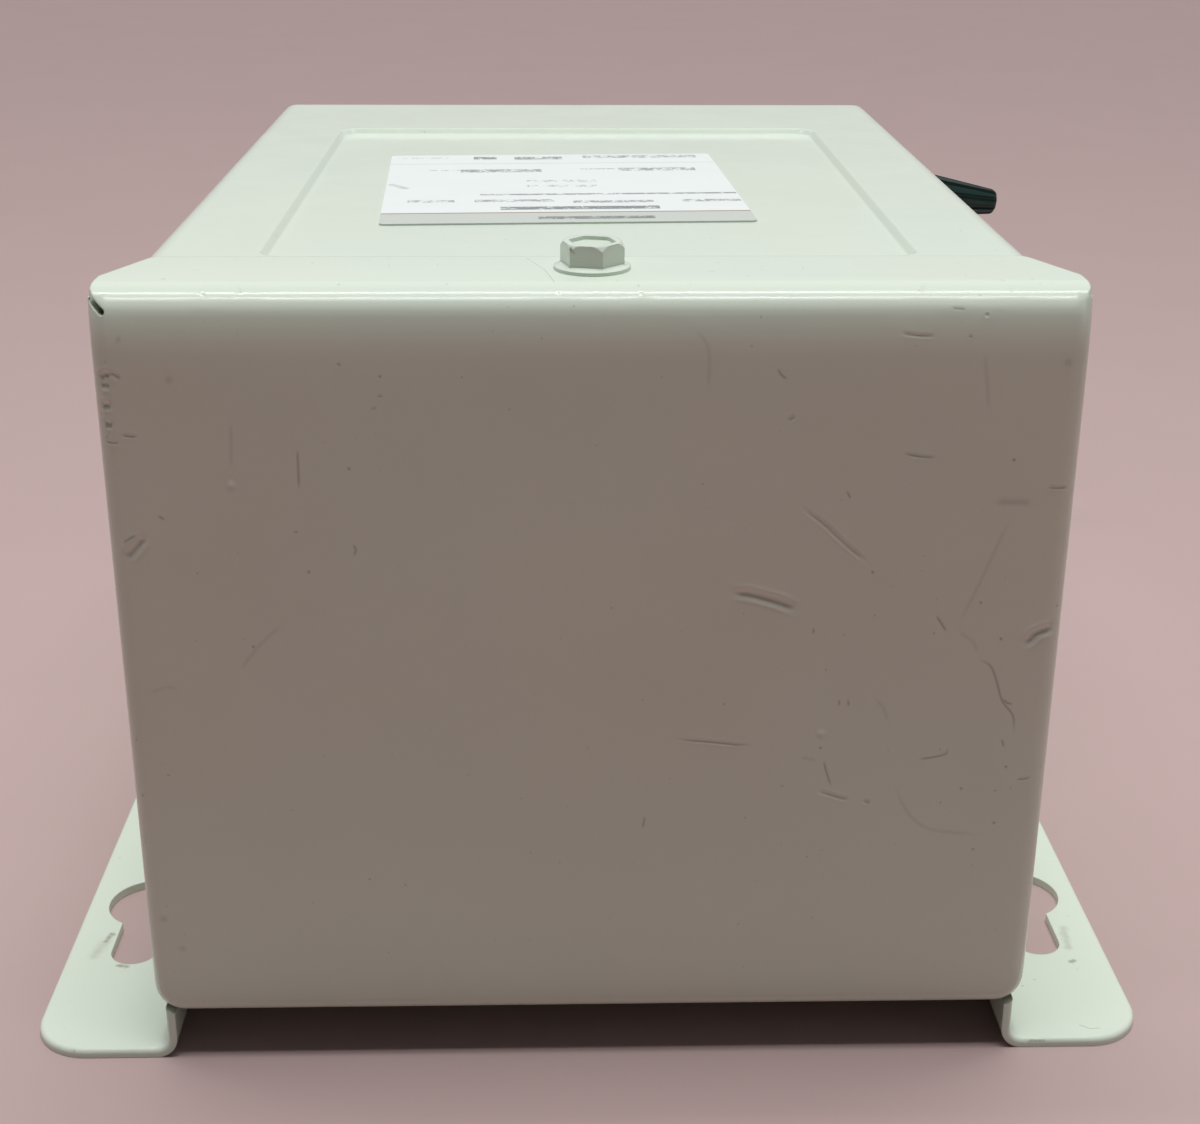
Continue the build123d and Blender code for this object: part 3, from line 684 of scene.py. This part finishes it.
# Middle across and along, half width, half height, and how dense the bars are.
LABEL_ROWS = (
    (-24.0, 29.6, 4.5, 0.4, 0.55), (-12.8, 29.2, 2.2, 1.4, 0.75), (-2.6, 28.8, 4.6, 1.5, 0.70),
    (17.0, 29.9, 11.0, 1.4, 0.62), (-10.0, 15.2, 7.5, 1.5, 0.66), (-20.0, 16.0, 3.5, 0.4, 0.6),
    (19.0, 15.8, 7.2, 1.5, 0.66), (8.0, 16.5, 3.4, 0.4, 0.6), (0.6, 4.2, 6.2, 1.1, 0.55),
    (0.4, -0.7, 6.2, 1.1, 0.55), (8.2, -8.4, 22.4, 0.6, 0.72), (-22.6, -14.0, 4.0, 1.0, 0.62),
    (-8.4, -14.0, 6.8, 1.0, 0.64), (8.5, -15.4, 6.9, 1.0, 0.66), (25.4, -15.0, 5.0, 1.0, 0.66),
    (2.5, -20.7, 13.4, 1.3, 0.80), (4.7, -29.0, 9.6, 1.1, 0.74),
)


def inside(tree, value, middle, half):
    """1 where the value is within half of the middle."""
    return math_node(tree, "COMPARE", value, middle, half)


def label():
    material, tree, shader, place = new_finish("label_foil", roughness=0.38)
    middle = Vector((*LABEL_MIDDLE, 0)) * MM
    turned = add(tree, "Mapping", {"Vector": place, "Location": middle, "Rotation": (0, 0, LABEL_SKEW)},
                 vector_type="TEXTURE").outputs["Vector"]
    flat = add(tree, "VectorMath", {0: turned, "Scale": 1 / MM}, operation="SCALE").outputs["Vector"]
    parts = add(tree, "SeparateXYZ", {"Vector": flat})
    across, along = parts.outputs["X"], parts.outputs["Y"]
    words = add(tree, "TexNoise", {"Vector": flat, "Scale": WORD_SCALE, "Detail": 1.0}).outputs["Fac"]
    strokes = add(tree, "TexNoise", {"Vector": flat, "Scale": STROKE_SCALE, "Detail": 1.0}).outputs["Fac"]
    fine = math_node(tree, "MULTIPLY", strokes, STROKE_SHARE)
    texture = math_node(tree, "MULTIPLY_ADD", words, WORD_SHARE, fine)
    ink = math_node(tree, "MULTIPLY", inside(tree, along, RULE_ROW, RULE_HALF), RULE_INK)
    for column, row, half_width, half_height, dense in LABEL_ROWS:
        field = math_node(tree, "MULTIPLY", inside(tree, across, column, half_width),
                          inside(tree, along, row, half_height))
        drop = BAR_DROP * dense
        bars = remap(tree, texture, BAR_FROM - drop, BAR_FULL - drop, 0.0, dense)
        ink = math_node(tree, "MAXIMUM", ink, math_node(tree, "MULTIPLY", field, bars))
    paper = mix_colours(tree, noise(tree, place, PAPER_MM, 3), LABEL_WHITE, LABEL_SHADE)
    in_strip = math_node(tree, "LESS_THAN", along, STRIP_EDGE)
    field = mix_colours(tree, in_strip, paper, LABEL_STRIP)
    field = mix_colours(tree, inside(tree, along, STRIP_EDGE, STRIP_LINE), field, LABEL_LINE)
    printed = mix_colours(tree, ink, field, LABEL_INK)
    stain = smudge(tree, place, *LABEL_STAIN)
    tree.links.new(mix_colours(tree, stain, printed, OLIVE), shader.inputs["Base Color"])
    bump(tree, shader, noise(tree, place, FOIL_MM, 2), FOIL_DEPTH_MM, FOIL_STRENGTH)
    return material


finishes["nameplate"] = label()
print(len(LABEL_ROWS), "rows of plain bars on the label")

# %% [markdown]
# ## What is inside
#
# The case hides a core of thin steel sheets, two windings, paper, resin, board and leads. None of it shows,
# but whoever opens the model should find real materials. One function makes them all: a colour that drifts,
# a grain, and, where the real thing is built of layers, fine bands across one axis.

# %% Metals, papers and resins
# The colour drifts over this many grains, and a band is darkened by this share.
DRIFT_GRAINS, BAND_SHARE = 12, 0.6
GRAIN_STRENGTH = 0.5
# The phase of a Wave texture grows by this much for each unit of its input.
WAVE_RATE = 20


def layered(name, dark, light, grain_mm, roughness, metallic=0.0, bands=None, depth_mm=0.05):
    """A drifting colour with a grain. bands is an axis and the thickness of a layer in millimetres."""
    material, tree, shader, place = new_finish(name, roughness, metallic)
    height = noise(tree, place, grain_mm, 3)
    colour = mix_colours(tree, noise(tree, place, DRIFT_GRAINS * grain_mm, 3), dark, light)
    if bands is not None:
        axis, layer_mm = bands
        scale = 2 * math.pi / (WAVE_RATE * layer_mm * MM)
        wave = add(tree, "TexWave", {"Vector": place, "Scale": scale}, bands_direction=axis).outputs["Fac"]
        colour = mix_colours(tree, math_node(tree, "MULTIPLY", wave, BAND_SHARE), colour, dark)
        height = math_node(tree, "ADD", height, wave)
    tree.links.new(colour, shader.inputs["Base Color"])
    bump(tree, shader, height, depth_mm, GRAIN_STRENGTH)
    return material


COPPER_DARK, COPPER_LIGHT = (0.42, 0.15, 0.06), (0.66, 0.30, 0.14)
core = layered("core_steel", (0.20, 0.21, 0.23), (0.36, 0.37, 0.39), 1.5, 0.45, 0.9, ("Z", 0.5))
bolts = layered("bolt_steel", (0.50, 0.50, 0.48), (0.66, 0.66, 0.64), 0.6, 0.35, 1.0)
fine_wire = layered("copper_wire_fine", COPPER_DARK, COPPER_LIGHT, 2.0, 0.30, 0.8, ("Y", 1.0))
thick_wire = layered("copper_wire_thick", COPPER_DARK, COPPER_LIGHT, 2.0, 0.30, 0.8, ("Y", 2.0))
wrap_paper = layered("coil_paper", (0.50, 0.36, 0.18), (0.66, 0.52, 0.30), 0.8, 0.6)
board = layered("spacer_board", (0.26, 0.15, 0.07), (0.42, 0.27, 0.14), 0.7, 0.7)
nylon = layered("bobbin_nylon", (0.66, 0.62, 0.50), (0.76, 0.72, 0.60), 1.2, 0.45)
resin = layered("potting_resin", (0.10, 0.09, 0.08), (0.24, 0.22, 0.19), 0.9, 0.75, depth_mm=0.2)
cap_nylon = layered("cap_nylon", (0.66, 0.66, 0.60), (0.76, 0.76, 0.70), 1.0, 0.3)
black_sleeve = layered("high_lead_sleeve", (0.010, 0.010, 0.011), (0.028, 0.028, 0.030), 0.6, 0.45)
red_sleeve = layered("low_lead_sleeve", (0.30, 0.018, 0.014), (0.42, 0.035, 0.025), 0.6, 0.45)
green_sleeve = layered("ground_sleeve", (0.006, 0.035, 0.022), (0.014, 0.065, 0.042), 0.6, 0.4)
green_shell = layered("connector_green", (0.004, 0.020, 0.017), (0.010, 0.042, 0.034), 0.9, 0.36)
rubber = layered("grommet_rubber", (0.012, 0.012, 0.012), (0.030, 0.030, 0.030), 0.5, 0.6)
green_lacquer = layered("ground_green", (0.015, 0.12, 0.035), (0.030, 0.19, 0.060), 0.8, 0.35, 0.2)

finishes.update({
    "core_e_stack": core, "core_i_stack": core, "core_bolts": bolts, "core_nuts": bolts,
    "core_spacers": board, "coil_bobbin": nylon, "low_winding": thick_wire, "high_winding": fine_wire,
    "winding_barrier": wrap_paper, "coil_wrap": wrap_paper, "potting_block": resin,
    "high_leads": black_sleeve, "low_leads": red_sleeve, "lead_caps": cap_nylon, "lead_grommet": rubber,
    "ground_lead_inner": green_sleeve, "ground_lead_cap": green_shell, "ground_screw": green_lacquer,
})
for node_name, material in finishes.items():
    nodes[node_name].data.materials.clear()
    nodes[node_name].data.materials.append(material)
lead_curve.materials.append(green_sleeve)
print(len(finishes), "packed pieces have a finish")

# %% [markdown]
# ## Floor and light
#
# A camera's picture has whiter whites than Blender's usual view, so the Standard view is chosen first. The
# floor is plain and pale, a greyed pink that throws a little of the cloth's warm light as well.

# %% The floor
bpy.context.scene.view_settings.view_transform = "Standard"
FLOOR_SIZE = 6.0
FLOOR_DARK = (0.46, 0.345, 0.335)
FLOOR_LIGHT = (0.485, 0.365, 0.355)
FLOOR_GRAIN_MM = 60

floor_mesh = bpy.data.meshes.new("floor")
half = FLOOR_SIZE / 2
corners = [(-half, -half, 0), (half, -half, 0), (half, half, 0), (-half, half, 0)]
floor_mesh.from_pydata(corners, [], [(0, 1, 2, 3)])
floor = bpy.data.objects.new("floor", floor_mesh)
bpy.context.scene.collection.objects.link(floor)
floor_finish, floor_tree, floor_shader, floor_place = new_finish("floor", roughness=0.8)
floor_grain = noise(floor_tree, floor_place, FLOOR_GRAIN_MM, 3)
floor_colour = mix_colours(floor_tree, floor_grain, FLOOR_DARK, FLOOR_LIGHT)
floor_tree.links.new(floor_colour, floor_shader.inputs["Base Color"])
floor_mesh.materials.append(floor_finish)
print("floor", FLOOR_SIZE, "m")

# %% [markdown]
# The light is soft and comes from straight above, so the front panel and the flanges are bright while the
# near end stands in its own shade and is lit by the floor. Two long strips hang side by side, as tubes in a
# ceiling do, and each draws a bright line along the lip's fold. A weak panel stands at the right. Two broad
# suns do most of the work. The first shines down from a little behind. The second comes from a little in
# front, so it only grazes the near face, and the lower wall of every dent shows bright. Neither is mirrored
# in the paint.

# %% The lights
LIP_FOLD = (0, -0.09, 0.12)
# Name, place and size in metres, and power in watts. All look at the lip's fold.
AREA_LIGHTS = (
    ("strip_behind", (0.0, 0.04, 0.95), (0.8, 0.05), 1.8),
    ("strip_before", (0.0, -0.236, 0.95), (0.8, 0.05), 1.6),
    ("right_side", (1.1, -0.45, 0.45), (0.5, 0.8), 0.6),
)
# Name, strength, how wide it looks in degrees, and the way its light goes.
BROAD_LIGHTS = (
    ("overhead", 1.3, 30, (-0.03, -0.06, -1)),
    ("grazing", 0.6, 8, (-0.02, 0.05, -1)),
)


def new_light(name, kind, strength, way):
    data = bpy.data.lights.new(name, kind)
    data.energy = strength
    light = bpy.data.objects.new(name, data)
    light.rotation_euler = Vector(way).to_track_quat("-Z", "Y").to_euler()
    bpy.context.scene.collection.objects.link(light)
    return light


for name, place, size, power in AREA_LIGHTS:
    light = new_light(name, "AREA", power, Vector(LIP_FOLD) - Vector(place))
    light.location = place
    light.data.shape = "RECTANGLE"
    light.data.size, light.data.size_y = size
for name, strength, width, way in BROAD_LIGHTS:
    light = new_light(name, "SUN", strength, way)
    light.data.angle = math.radians(width)
    light.visible_glossy = False
print(len(AREA_LIGHTS) + len(BROAD_LIGHTS), "lights")

# %% [markdown]
# The room gives a little light from all round. It is paler ahead of the camera than behind it, so the far
# floor and the panel are lifted and the near end keeps its shade.

# %% The room
ROOM_COLOUR = (0.82, 0.79, 0.79, 1)
# The world's Y where the dark half ends and the pale half begins, and the strength of each.
DARK_UNTIL, PALE_FROM = -0.35, 0.3
ROOM_DARK, ROOM_PALE = 0.05, 0.5

world = bpy.data.worlds.new("room")
world.use_nodes = True
room_tree = world.node_tree
room = room_tree.nodes["Background"]
looking = add(room_tree, "TexCoord").outputs["Generated"]
ahead = add(room_tree, "SeparateXYZ", {"Vector": looking}).outputs["Y"]
glow = remap(room_tree, ahead, DARK_UNTIL, PALE_FROM, ROOM_DARK, ROOM_PALE)
room_tree.links.new(glow, room.inputs["Strength"])
room.inputs["Color"].default_value = ROOM_COLOUR
bpy.context.scene.world = world
print("room from", ROOM_DARK, "behind the camera to", ROOM_PALE, "ahead")
